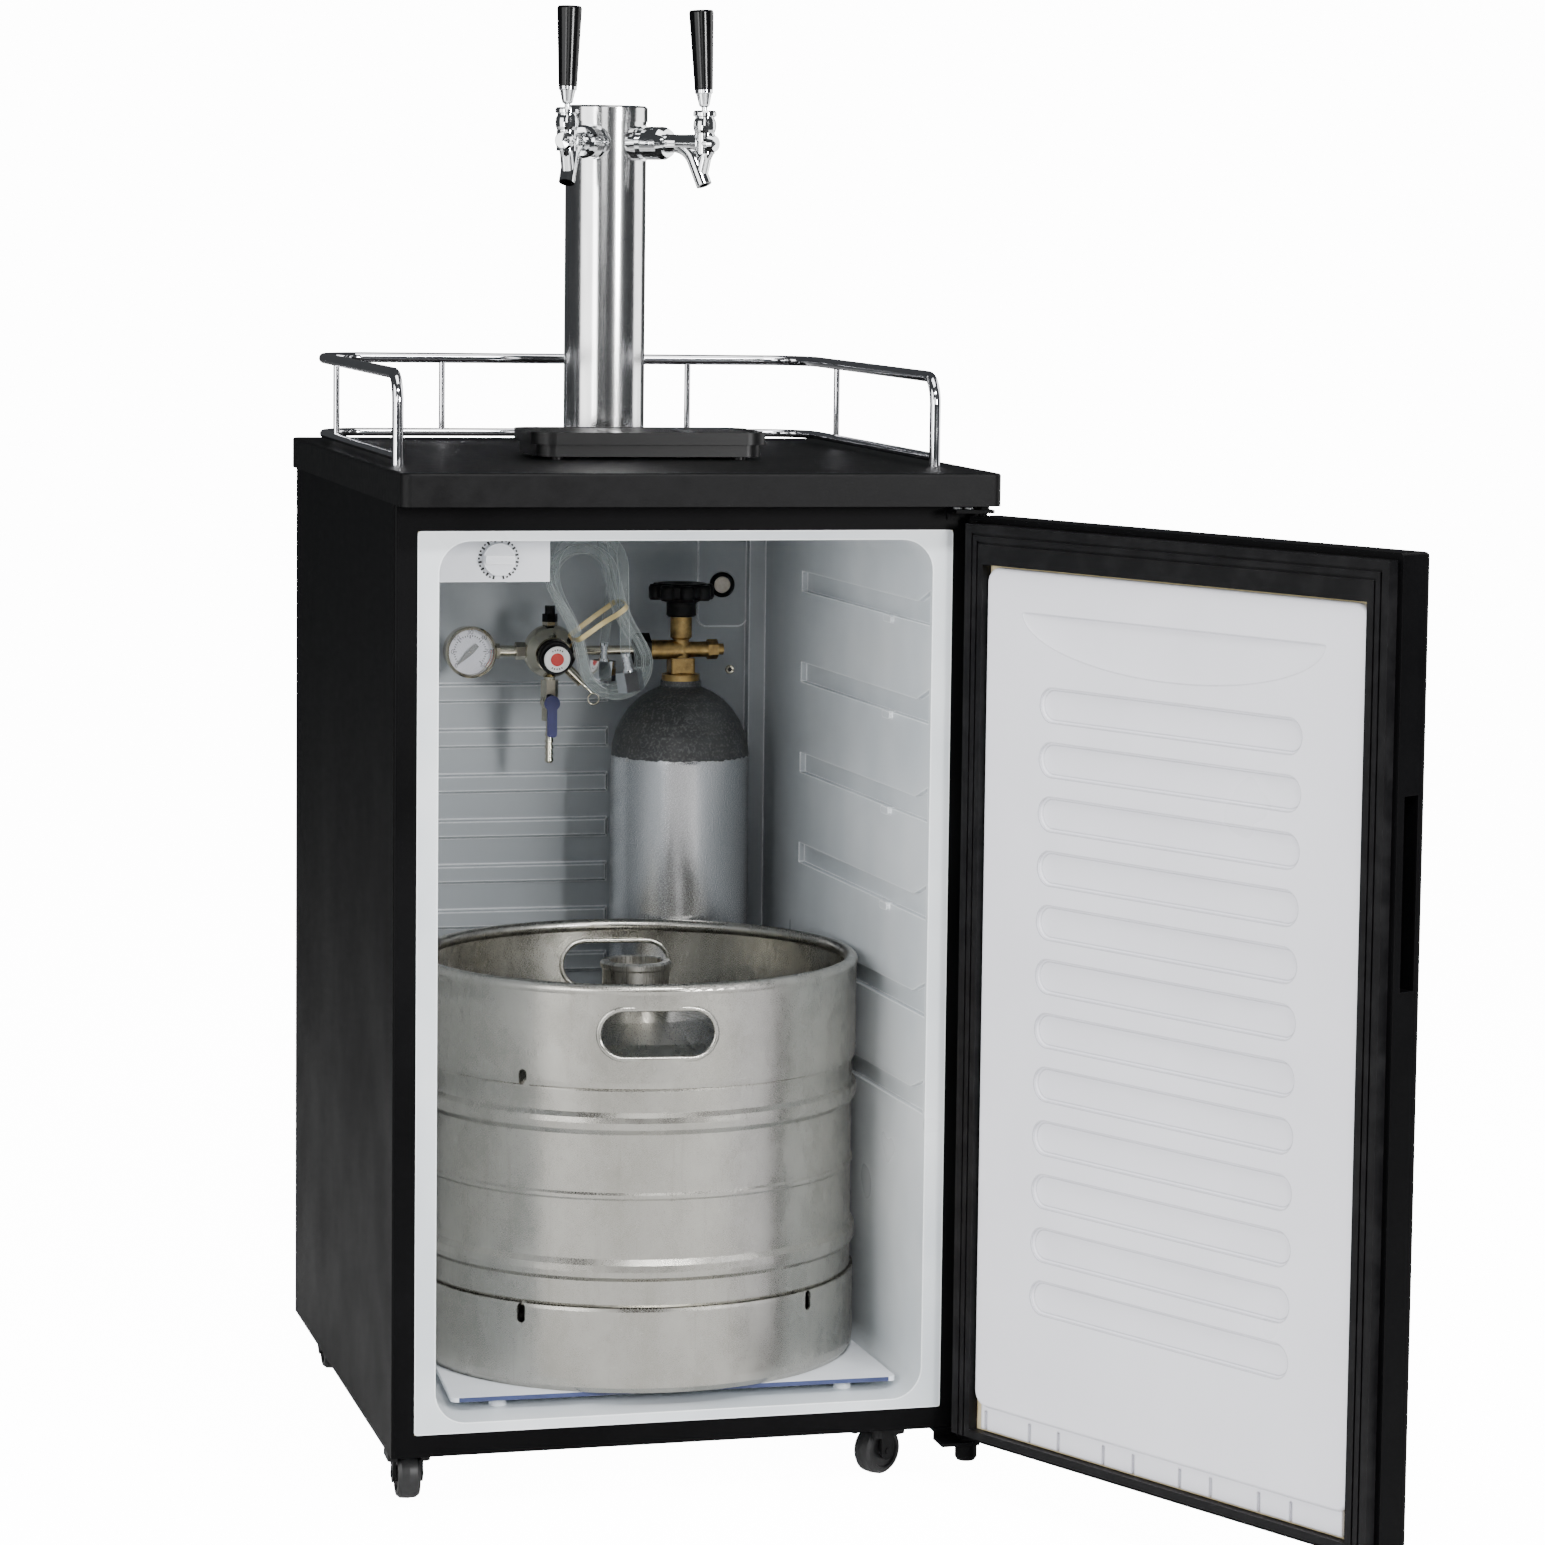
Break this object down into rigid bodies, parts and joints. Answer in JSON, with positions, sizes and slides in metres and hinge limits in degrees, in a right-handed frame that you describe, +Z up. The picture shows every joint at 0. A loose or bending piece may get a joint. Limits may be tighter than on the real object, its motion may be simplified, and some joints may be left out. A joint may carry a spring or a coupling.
{
  "type": "kegerator",
  "caption": "Freestanding draft beer cooler with an open door, a keg and gas cylinder inside, a draft tower with faucets on top, a guard rail, a drip tray and casters",
  "frame": {"origin": "On the floor, under the middle of the cabinet's footprint", "axes": "+X to the right seen from the front, +Y to the back, +Z up; the door hangs open at rest, swung 115 degrees about the right front corner"},
  "size_m": [0.7625, 1.0986, 1.3275],
  "materials": {
    "black_steel": "Satin black powder coat",
    "white_liner": "Satin white moulded plastic",
    "insulation": "Rigid polyurethane foam",
    "black_top": "Fine-textured black laminate",
    "galvanised": "Bare galvanised sheet",
    "black_plastic": "Moulded black plastic",
    "black_rubber": "Soft black rubber",
    "grey_housing": "Light grey moulded plastic",
    "white_board": "White board with blue edge",
    "grey_tyre": "Hard grey rubber",
    "polished_steel": "Polished steel",
    "chrome_faucet": "Chrome-plated brass",
    "keg_steel": "Worn satin stainless steel",
    "cylinder_paint": "Brushed aluminium with a grey painted shoulder",
    "valve_brass": "Forged brass",
    "nickel_brass": "Nickel-plated brass",
    "gauge_case": "Plated steel case",
    "red_needle": "Red paint",
    "blue_lever": "Blue vinyl dip",
    "clear_vinyl": "Clear vinyl hose",
    "copper_black": "Black enamelled steel tube",
    "bare_aluminium": "Rolled aluminium",
    "black_handle": "Glossy black moulded plastic"
  },
  "bodies": {
    "cabinet": {"cabinet_shell": "black_steel", "cabinet_back_panel": "galvanised", "cabinet_liner": "white_liner", "cabinet_foam": "insulation", "worktop": "black_top", "base_tray": "galvanised", "compressor": "copper_black", "condenser_coil": "copper_black", "evaporator_plate": "bare_aluminium", "door_hinges": "black_steel", "thermostat_housing": "grey_housing", "line_grommet": "black_rubber", "floor_plate": "white_board", "rear_caster_forks": "black_plastic", "guard_rail_tube": "polished_steel", "guard_rail_lower_rod": "polished_steel", "guard_rail_posts": "polished_steel", "tower_column": "polished_steel", "tower_cap": "polished_steel", "faucet_shanks": "chrome_faucet", "faucet_collars": "chrome_faucet", "faucet_bodies": "chrome_faucet", "faucet_bonnets": "chrome_faucet", "keg_shell": "keg_steel", "keg_chimes": "keg_steel", "keg_valve": "keg_steel", "co2_cylinder": "cylinder_paint", "co2_valve": "valve_brass", "regulator_body": "nickel_brass", "regulator_inlet_nut": "black_plastic", "gauge_case": "gauge_case", "shutoff_valve": "nickel_brass", "beer_line_runs": "clear_vinyl", "beer_line_hank": "clear_vinyl", "beer_line_nuts": "nickel_brass", "tower_beer_lines": "clear_vinyl"},
    "door": {"door_skin": "black_steel", "door_foam": "insulation", "door_liner": "white_liner", "door_gasket": "black_rubber"},
    "thermostat_knob_body": {"thermostat_knob": "grey_housing"},
    "front_left_fork": {"front_left_caster_fork": "black_plastic"},
    "front_right_fork": {"front_right_caster_fork": "black_plastic"},
    "front_left_wheel_body": {"front_left_wheel": "grey_tyre"},
    "front_right_wheel_body": {"front_right_wheel": "grey_tyre"},
    "rear_left_wheel_body": {"rear_left_wheel": "grey_tyre"},
    "rear_right_wheel_body": {"rear_right_wheel": "grey_tyre"},
    "drip_tray_body": {"drip_tray": "black_plastic"},
    "drip_grille_body": {"drip_grille": "black_plastic"},
    "left_lever": {"left_faucet_lever": "chrome_faucet", "left_tap_handle": "black_handle"},
    "right_lever": {"right_faucet_lever": "chrome_faucet", "right_tap_handle": "black_handle"},
    "left_plunger": {"left_faucet_plunger": "chrome_faucet"},
    "right_plunger": {"right_faucet_plunger": "chrome_faucet"},
    "handwheel": {"co2_handwheel": "black_plastic"},
    "pressure_knob": {"regulator_knob": "black_plastic"},
    "needle": {"gauge_needle": "red_needle"},
    "gas_lever": {"shutoff_lever": "blue_lever"},
    "relief_pull": {"relief_ring": "nickel_brass"}
  },
  "joints": [
    {"name": "door_hinge", "type": "hinge", "parent": "cabinet", "child": "door", "pos_m": [0.2557, -0.3115, 0.044], "axis": [0, 0, 1], "range_deg": [-115, 10]},
    {"name": "thermostat_turn", "type": "hinge", "parent": "cabinet", "child": "thermostat_knob_body", "pos_m": [-0.1626, -0.2325, 0.835], "axis": [0, 1, 0], "range_deg": [0, 300]},
    {"name": "front_left_swivel", "type": "hinge", "parent": "cabinet", "child": "front_left_fork", "pos_m": [-0.24, -0.222, 0.05], "axis": [0, 0, 1], "continuous": true},
    {"name": "front_left_roll", "type": "hinge", "parent": "front_left_fork", "child": "front_left_wheel_body", "pos_m": [-0.24042, -0.23399, 0.0225], "axis": [0.9994, -0.0349, 0], "continuous": true},
    {"name": "rear_left_roll", "type": "hinge", "parent": "cabinet", "child": "rear_left_wheel_body", "pos_m": [-0.232, 0.257, 0.0225], "axis": [-1, 0, 0], "continuous": true},
    {"name": "front_right_swivel", "type": "hinge", "parent": "cabinet", "child": "front_right_fork", "pos_m": [0.199, -0.238, 0.05], "axis": [0, 0, 1], "continuous": true},
    {"name": "front_right_roll", "type": "hinge", "parent": "front_right_fork", "child": "front_right_wheel_body", "pos_m": [0.18882, -0.24436, 0.0225], "axis": [0.5299, -0.848, 0], "continuous": true},
    {"name": "rear_right_roll", "type": "hinge", "parent": "cabinet", "child": "rear_right_wheel_body", "pos_m": [0.232, 0.257, 0.0225], "axis": [-1, 0, 0], "continuous": true},
    {"name": "drip_tray_lift", "type": "slide", "parent": "cabinet", "child": "drip_tray_body", "axis": [0, 0, 1], "range_m": [0, 0.15]},
    {"name": "drip_grille_lift", "type": "slide", "parent": "drip_tray_body", "child": "drip_grille_body", "axis": [0, 0, 1], "range_m": [0, 0.06]},
    {"name": "left_faucet_pull", "type": "hinge", "parent": "cabinet", "child": "left_lever", "pos_m": [-0.0575, 0.00091, 1.225], "axis": [0.866, -0.5, 0], "range_deg": [0, 28]},
    {"name": "left_faucet_plunge", "type": "slide", "parent": "cabinet", "child": "left_plunger", "axis": [0.5, 0.866, 0], "range_m": [0, 0.0092]},
    {"name": "right_faucet_pull", "type": "hinge", "parent": "cabinet", "child": "right_lever", "pos_m": [0.07545, 0.01371, 1.225], "axis": [0.7547, 0.6561, 0], "range_deg": [0, 28]},
    {"name": "right_faucet_plunge", "type": "slide", "parent": "cabinet", "child": "right_plunger", "axis": [-0.6561, 0.7547, 0], "range_m": [0, 0.0092]},
    {"name": "handwheel_turn", "type": "hinge", "parent": "cabinet", "child": "handwheel", "pos_m": [0.095, 0.1785, 0.748], "axis": [0, 0, 1], "range_deg": [0, 720]},
    {"name": "pressure_turn", "type": "hinge", "parent": "cabinet", "child": "pressure_knob", "pos_m": [-0.035, 0.15671, 0.71294], "axis": [0, 0.9903, 0.1392], "range_deg": [0, 1080]},
    {"name": "needle_turn", "type": "hinge", "parent": "cabinet", "child": "needle", "pos_m": [-0.1135, 0.1735, 0.716], "axis": [0, 1, 0], "range_deg": [0, 270]},
    {"name": "gas_lever_turn", "type": "hinge", "parent": "cabinet", "child": "gas_lever", "pos_m": [-0.035, 0.1661, 0.666], "axis": [0, 1, 0], "range_deg": [0, 90]},
    {"name": "relief_pull_out", "type": "slide", "parent": "cabinet", "child": "relief_pull", "axis": [0.7071, 0, -0.7071], "range_m": [0, 0.003]}
  ],
  "couplings": [
    {"joint": "left_faucet_plunge", "follows": "left_faucet_pull", "m_per_rad": 0.0184},
    {"joint": "right_faucet_plunge", "follows": "right_faucet_pull", "m_per_rad": 0.0184}
  ]
}
